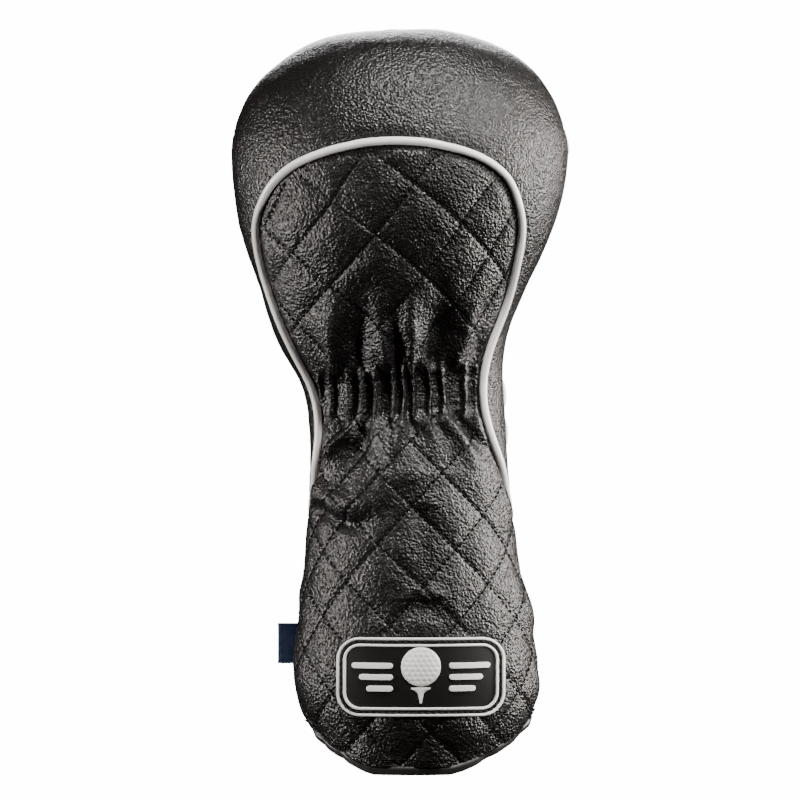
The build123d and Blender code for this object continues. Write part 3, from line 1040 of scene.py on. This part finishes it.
def make_quilting():
    """Stitches along both families of quilting lines, stopping at the seam, the badge and the hem."""
    heights = np.arange(2 * MM, 272 * MM, 0.8 * MM)
    lines = []
    for family in (falling, rising):
        for level in range(len(family.heights)):
            s = family.trace(level, heights)
            near = np.abs(s) < 0.095
            if near.sum() < 4:
                continue
            angle, row = unroll.place(s[near], heights[near])
            x, z = skin.at(angle, row)[:, 0], heights[near]
            clear = (z < gather_height(GATHER_LOW, x) - 1 * MM) | (z > gather_height(GATHER_TOP, x) + 1 * MM)
            keep = in_back(angle, row, 3.2 * MM) & (badge_distance(x, z) > 0.8 * MM) & clear
            keep &= above_binding(angle, row, 5 * MM)
            for run in runs_of(keep):
                if run.stop - run.start > 4:
                    lines.append(on_back(angle[run], row[run]))
    sew("quilting_stitches", lines, "quilting_thread", ("black_thread", (0.001, 0.001, 0.001), (0.004, 0.004, 0.004)))


def make_gather_rows():
    """The two rows of stitching that hold the elastic."""
    lines = []
    for gather_row in (GATHER_TOP, GATHER_LOW):
        x = np.arange(-34 * MM, 37 * MM, 0.6 * MM)
        angle, row = skin.behind(x, gather_height(gather_row, x))
        keep = in_back(angle, row, 2.6 * MM)
        for run in runs_of(keep):
            lines.append(on_back(angle[run], row[run]))
    thread = ("gather_thread", (0.002, 0.002, 0.002), (0.012, 0.011, 0.011))
    sew("gather_stitches", lines, "gather_stitching", thread, length=1.7 * MM, pitch=2.3 * MM)


HEM_STITCH_RISE = 3.6 * MM


def make_hem_stitching():
    """The row of stitching a little above the bound edge, right round the cover."""
    lines = []
    for left, right, heights in ((seam.left(8), seam.right(8), back_heights),
                                 (seam.right(8), seam.left(8) + 360, front_heights)):
        angle = np.linspace(left + 4, right - 4, 420)
        row = hem.row(angle) + HEM_STITCH_RISE / skin.STEP
        point, normal = skin.frame_at(angle, row)
        lines.append((point + normal * heights(point, angle, row)[:, None], normal))
    sew("hem_stitches", lines, "hem_stitching", ("hem_thread", (0.002, 0.002, 0.002), (0.008, 0.008, 0.008)))


# ---------------------------------------------------------------- hem and elastic

BINDING_HEIGHT = 4.0 * MM
BINDING_OUT = 0.7 * MM
BINDING_IN = -6.4 * MM


def make_binding():
    """Turned leather edge: a rounded roll under all the layers, gently uneven."""
    columns = 360
    angle = np.arange(columns) * 360 / columns - 180.0
    rise = BINDING_HEIGHT + 0.5 * MM
    round_out = [(BINDING_OUT, rise), (BINDING_OUT + 0.1 * MM, rise - 1.5 * MM), (BINDING_OUT, 1.4 * MM)]
    under = []
    for step in range(9):
        turn = math.pi * step / 8
        across = (BINDING_OUT + BINDING_IN) / 2 + (BINDING_OUT - BINDING_IN) / 2 * math.cos(turn)
        under.append((across, 1.2 * MM * (1 - math.sin(turn))))
    round_in = [(BINDING_IN, 1.4 * MM), (BINDING_IN, rise - 1.5 * MM), (BINDING_IN + 0.5 * MM, rise)]
    profile = np.array(round_out + under + round_in)
    row = hem.row(angle) - BINDING_HEIGHT / skin.STEP
    ripple = 0.18 * MM * fractal(skin.at(angle, row), 9 * MM, 2, 8.0)
    points = []
    for across, up in profile:
        point, normal = skin.frame_at(angle, row + up / skin.STEP)
        points.append(point + normal * (across + ripple)[:, None])
    binding = mesh_object("hem_binding_rolled", np.vstack(points), grid_faces(len(profile), columns, True, True))
    finish_piece(binding, smooth_leather_material(), ["hem_binding"])


ELASTIC_SPAN = (155.5 * MM, 169.0 * MM)


def make_elastic():
    """Ribbed elastic strip behind the gathers."""
    x = np.linspace(-31 * MM, 33 * MM, 160)
    z = np.linspace(ELASTIC_SPAN[0], ELASTIC_SPAN[1], 14)
    grid_x, grid_z = np.meshgrid(x, z)
    angle, row = skin.behind(grid_x.ravel(), grid_z.ravel())
    point, normal = skin.frame_at(angle, row)
    ribs = 0.12 * MM * np.cos(2 * math.pi * grid_z.ravel() / (1.9 * MM))
    depth = 6.0 * MM
    outer = point - normal * (depth - ribs)[:, None]
    inner = point - normal * (depth + 0.9 * MM + ribs)[:, None]
    strip = shell_object("elastic_strip", outer, inner, len(z), len(x))
    finish_piece(strip, fibre_material("elastic"), ["elastic_band"])


# ---------------------------------------------------------------- badge

BADGE_RISE = 2.0 * MM
BADGE_RELIEF = 0.7 * MM
FOOT = 0.2 * MM               # how far each raised part reaches into the base
RIM_WIDTH = 1.15 * MM
RIM_CHANNEL = 1.8 * MM
BALL_PLACE = (0.0, 4.4 * MM)
BALL_RADIUS = 8.2 * MM
# The tee: depth below its top and half its width there, in mm.
TEE_PROFILE = [(0, 4.0), (0.7, 3.9), (1.4, 2.4), (2.4, 1.3), (4.0, 0.9), (6.6, 0.4)]
BAR_LENGTHS = (17 * MM, 14 * MM, 11 * MM)
BAR_HEIGHT = 2.4 * MM
BAR_PITCH = 4.8 * MM
BAR_START = 11.5 * MM


def on_badge(u, v, rise):
    """Points at a height over the badge's place on the smooth skin; u across and v up from its middle."""
    u, v, rise = np.broadcast_arrays(np.asarray(u, float), np.asarray(v, float), np.asarray(rise, float))
    angle, row = skin.behind(BADGE_CENTRE[0] + u.ravel(), BADGE_CENTRE[1] + v.ravel())
    point, normal = skin.frame_at(angle, row)
    return point + normal * rise.ravel()[:, None]


def rounded_outline(half_x, half_z, corner, count=240):
    """Points round a rounded rectangle."""
    outline = []
    for sign_x, sign_z, start in ((1, 1, 0), (-1, 1, 90), (-1, -1, 180), (1, -1, 270)):
        for turn in np.linspace(start, start + 90, 12):
            a = math.radians(turn)
            outline.append((sign_x * (half_x - corner) + corner * math.cos(a),
                            sign_z * (half_z - corner) + corner * math.sin(a)))
    closed = np.array(outline + outline[:1])
    along = length_along(closed)
    wanted = np.arange(count) * along[-1] / count
    return np.stack([np.interp(wanted, along, closed[:, k]) for k in range(2)], 1)


def slab(name, outline, base, top, edge):
    """A raised shape with softly rounded edges on the badge; its outline is star-shaped about its middle."""
    centre = outline.mean(0)
    reach = np.linalg.norm(outline - centre, axis=1).mean()
    steps = [(1.0, base), (1.0, top - edge)]
    for turn in np.linspace(0, 90, 5)[1:]:
        a = math.radians(turn)
        steps.append((1 - edge / reach * (1 - math.cos(a)), top - edge + edge * math.sin(a)))
    for share in np.linspace(1, 0, 8)[1:-1]:
        steps.append(((1 - edge / reach) * share, top))
    rings = [on_badge(centre[0] + (outline[:, 0] - centre[0]) * s, centre[1] + (outline[:, 1] - centre[1]) * s, h)
             for s, h in steps]
    points = np.vstack(rings + [on_badge(centre[0], centre[1], top)])
    count = len(outline)
    faces = grid_faces(len(steps), count, wrap_columns=True)
    last = (len(steps) - 1) * count
    faces += [[last + k, last + (k + 1) % count, len(points) - 1] for k in range(count)]
    faces.append(list(range(count))[::-1])
    return mesh_object(name, points, faces)


def rim_object(name, inset):
    """A raised line round the badge with a rounded top."""
    count = 260
    half_x, half_z = BADGE_SIZE[0] / 2, BADGE_SIZE[1] / 2
    profile = [(0, -FOOT)]
    for turn in np.linspace(0, 180, 7):
        a = math.radians(turn)
        profile.append((RIM_WIDTH / 2 * (1 - math.cos(a)), BADGE_RELIEF * (0.35 + 0.65 * math.sin(a))))
    profile.append((RIM_WIDTH, -FOOT))
    rings = []
    for across, up in profile:
        shift = inset + across
        line = rounded_outline(half_x - shift, half_z - shift, BADGE_CORNER - shift, count)
        rings.append(on_badge(line[:, 0], line[:, 1], BADGE_RISE + up))
    return mesh_object(name, np.vstack(rings), grid_faces(len(profile), count, True, True))


def join_objects(name, parts):
    """Several meshes as one object."""
    points, faces = [], []
    for part in parts:
        first = len(points)
        points += [tuple(v.co) for v in part.data.vertices]
        faces += [[v + first for v in p.vertices] for p in part.data.polygons]
        mesh = part.data
        bpy.data.objects.remove(part)
        bpy.data.meshes.remove(mesh)
    return mesh_object(name, points, faces)


def make_ball():
    """A domed golf ball in relief, with dimples."""
    rings, count = 34, 132
    share = np.linspace(0, 1, rings)
    turn = np.arange(count) * 2 * math.pi / count
    u = (share[:, None] * BALL_RADIUS * np.cos(turn)[None]).ravel()
    v = (share[:, None] * BALL_RADIUS * np.sin(turn)[None]).ravel()
    dome = 1.1 * MM * np.sqrt(np.maximum(0, 1 - np.repeat(share, count) ** 2)) + 0.3 * MM
    pitch = 2.3 * MM
    for level in range(-4, 5):
        for place in range(-4, 5):
            x = (place + 0.5 * (level % 2)) * pitch
            z = level * pitch * 0.87
            if math.hypot(x, z) < BALL_RADIUS - 1.1 * MM:
                dome -= 0.28 * MM * np.exp(-(((u - x) ** 2 + (v - z) ** 2) / (0.62 * MM) ** 2))
    skirt_u, skirt_v = u[-count:], v[-count:]
    top = on_badge(u + BALL_PLACE[0], v + BALL_PLACE[1], BADGE_RISE + dome)
    foot = on_badge(skirt_u + BALL_PLACE[0], skirt_v + BALL_PLACE[1], BADGE_RISE - FOOT)
    points = np.vstack([top[:1], top[count:], foot])
    faces = [[0, 1 + k, 1 + (k + 1) % count] for k in range(count)]
    faces += grid_faces(rings, count, wrap_columns=True, start=1)
    last = 1 + (rings - 1) * count
    faces.append([last + k for k in range(count)])
    ball = mesh_object("badge_ball_relief", points, faces)
    fix_normals(ball)
    return ball


def make_tee():
    """The tee under the ball: a flared cup on a tapering stem, round in section."""
    top = BALL_PLACE[1] - BALL_RADIUS - 0.5 * MM
    profile = np.array(TEE_PROFILE) * MM
    rows, columns = 40, 13
    drop = np.linspace(profile[0, 0], profile[-1, 0], rows)
    half = np.interp(drop, profile[:, 0], profile[:, 1])
    across = np.sin(np.linspace(-math.pi / 2, math.pi / 2, columns))
    u = half[:, None] * across[None, :]
    v = np.repeat(top - drop, columns)
    rise = BADGE_RELIEF * np.sqrt(np.maximum(0, 1 - across**2))[None, :] * np.ones((rows, 1))
    outer = on_badge(u.ravel(), v, BADGE_RISE + rise.ravel())
    inner = on_badge(u.ravel(), v, BADGE_RISE - FOOT)
    return shell_object("badge_tee_relief", outer, inner, rows, columns)


def slot_outline(centre_u, centre_v, length, height):
    """Outline of a bar with round ends."""
    line = rounded_outline(length / 2, height / 2, height / 2 - 0.01 * MM, 72)
    return line + np.array([centre_u, centre_v])


def make_badge():
    """The moulded badge: dark base, two white rims with stitching between them, and the emblem."""
    half_x, half_z = BADGE_SIZE[0] / 2, BADGE_SIZE[1] / 2
    base = slab("badge_plate", rounded_outline(half_x, half_z, BADGE_CORNER), -0.6 * MM, BADGE_RISE, 0.5 * MM)
    fix_normals(base)
    finish_piece(base, rubber_material(), ["badge_base"])
    white = moulded_white_material()
    inner_inset = RIM_WIDTH + RIM_CHANNEL
    for name, inset, node in (("badge_rim_outer", 0.25 * MM, "badge_outer_rim"),
                              ("badge_rim_inner", inner_inset, "badge_inner_rim")):
        rim = rim_object(name, inset)
        fix_normals(rim)
        finish_piece(rim, white, [node])
    middle = RIM_WIDTH + RIM_CHANNEL / 2
    line = rounded_outline(half_x - middle, half_z - middle, BADGE_CORNER - middle, 400)
    line = np.vstack([line, line[:1]])
    path = on_badge(line[:, 0], line[:, 1], BADGE_RISE)
    normals = unit(on_badge(line[:, 0], line[:, 1], BADGE_RISE + 1 * MM) - path)
    thread = ("badge_thread", (0.01, 0.01, 0.01), (0.04, 0.04, 0.04))
    sew("badge_stitches", [(path, normals)], "badge_stitching", thread)
    finish_piece(make_ball(), white, ["badge_ball"])
    finish_piece(make_tee(), white, ["badge_tee"])
    bars = []
    for level, length in enumerate(BAR_LENGTHS):
        for side in (-1, 1):
            outline = slot_outline(side * (BAR_START + length / 2), BAR_PITCH * (1 - level), length, BAR_HEIGHT)
            bars.append(slab("bar", outline, BADGE_RISE - FOOT, BADGE_RISE + BADGE_RELIEF, 0.35 * MM))
    bars = join_objects("badge_bars_relief", bars)
    fix_normals(bars)
    finish_piece(bars, white, ["badge_bars"])


# ---------------------------------------------------------------- ribbon tag

TAG_LAYER = 0.42 * MM
TAG_ROOM = 2.4 * MM          # how far the ribbon's ends run back towards the seam


def make_tag():
    """Satin ribbon folded into a loop, its two ends going into the side seam."""
    low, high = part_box("loop_tag")
    middle_y = (low.y + high.y) / 2
    half = (high.y - low.y) / 2
    bend = half - TAG_LAYER / 2
    path = [(high.x + TAG_ROOM * (1 - k / 4), middle_y + bend * (0.35 + 0.65 * k / 4)) for k in range(5)]
    reach = low.x + half
    path += [(high.x + (reach - high.x) * k / 8, middle_y + bend * (1 + 0.25 * math.sin(math.pi * k / 8)))
             for k in range(1, 9)]
    path += [(reach - bend * math.sin(math.radians(t)), middle_y + bend * math.cos(math.radians(t)))
             for t in range(15, 180, 15)]
    path += [(x, 2 * middle_y - y) for x, y in path[12::-1]]
    path = np.array(path)
    ahead = unit(np.gradient(path, axis=0))
    out = np.stack([-ahead[:, 1], ahead[:, 0]], 1)
    rows = 30
    heights = np.linspace(low.z, high.z, rows)
    outer, inner = [], []
    for height in heights:
        share = (height - low.z) / (high.z - low.z)
        sway = 0.25 * MM * math.sin(2.2 * share + 0.4)
        edge = 1 + 0.5 * (math.exp(-share * 14) + math.exp(-(1 - share) * 14))
        weave = 0.03 * MM * math.cos(rows * math.pi * share)
        for (x, y), (nx, ny) in zip(path, out):
            far = (high.x - x) / (high.x - low.x)
            y = y + sway * far
            thick = TAG_LAYER / 2 * edge + weave
            outer.append((x + nx * thick, y + ny * thick, height))
            inner.append((x - nx * thick, y - ny * thick, height))
    tag = shell_object("ribbon_tag", np.array(outer), np.array(inner), rows, len(path))
    finish_piece(tag, ribbon_material(), ["loop_tag"], TAG)


# ---------------------------------------------------------------- embroidery

# Bottom and top of each bar, how far it runs across the front, and where it ends on the right side, in mm.
BARS = [
    (84, 91, -22, 20),
    (98, 105, -23, 20),
    (112, 120, -24, 11),
    (140, 152, -26, 2),
    (157, 169, -27, 2),
    (267, 275, -44, 2),
]
THREAD_PITCH = 0.9 * MM
THREAD_RIDGE = 0.09 * MM
SATIN_RISE = 1.0 * MM
SATIN_SLANT = 0.012           # share of a bar's length by which its threads lean
SATIN_ROWS = 11
BAR_END = 1.2 * MM            # length over which a bar's end rounds off


def make_embroidery():
    """Raised satin stitch bars, each a padded strip with slanting ridges of thread."""
    bars = []
    for low, high, left, side_y in BARS:
        z_middle = (low + high) / 2 * MM
        row = skin.row_of(z_middle)
        if z_middle > skin.pivot.z:
            over = math.degrees(math.asin(min(1, (z_middle - skin.pivot.z) / (CAD_HIGH.z - skin.pivot.z))))
            row = skin.level_rows - 1 + over / skin.FAN
        angles = np.linspace(60, 250, 400)
        ring = skin.at(angles, np.full(angles.shape, float(row)))
        right = angles[int(np.argmin(np.abs(ring[:, 1] - side_y * MM) + (ring[:, 0] < 0)))]
        left_end = angles[int(np.argmin(np.abs(ring[:, 0] - left * MM) + (ring[:, 1] < 0)))]
        length = length_along(ring)[-1] * (left_end - right) / (angles[-1] - angles[0])
        columns = int(length / THREAD_PITCH) * 4
        share = np.linspace(0, 1, columns)
        v = np.linspace(-1, 1, SATIN_ROWS)
        half_rows = (high - low) / 2 * MM / skin.STEP * (1.0 if z_middle < skin.pivot.z else 0.9)
        round_end = np.sqrt(np.clip(np.minimum(share, 1 - share) * length / BAR_END, 0, 1))
        grid_share, grid_v = np.meshgrid(share, v)
        slant = grid_share + SATIN_SLANT * grid_v
        angle = (right + (left_end - right) * slant).ravel()
        rows = (row + grid_v * half_rows * (0.9 + 0.1 * round_end[None])).ravel()
        point, normal = skin.frame_at(angle, rows)
        crown = np.sqrt(np.clip(1 - grid_v**2, 0, 1)) * round_end[None]
        ridge = THREAD_RIDGE * np.cos(2 * math.pi * grid_share * length / THREAD_PITCH)
        rise = (SATIN_RISE * crown + ridge * crown).ravel()
        base = front_heights(point, angle, rows)
        outer = point + normal * (base + rise)[:, None]
        inner = point + normal * (base - 0.5 * MM)[:, None]
        bars.append(shell_object("bar", outer, inner, SATIN_ROWS, columns))
    embroidery = join_objects("embroidered_bars_satin", bars)
    finish_piece(embroidery, satin_material(), ["embroidered_bars"])


make_camera()
make_lights()
make_stage()
make_back()
make_front()
make_piping()
make_quilting()
make_gather_rows()
make_hem_stitching()
make_binding()
make_elastic()
make_badge()
make_tag()
make_embroidery()
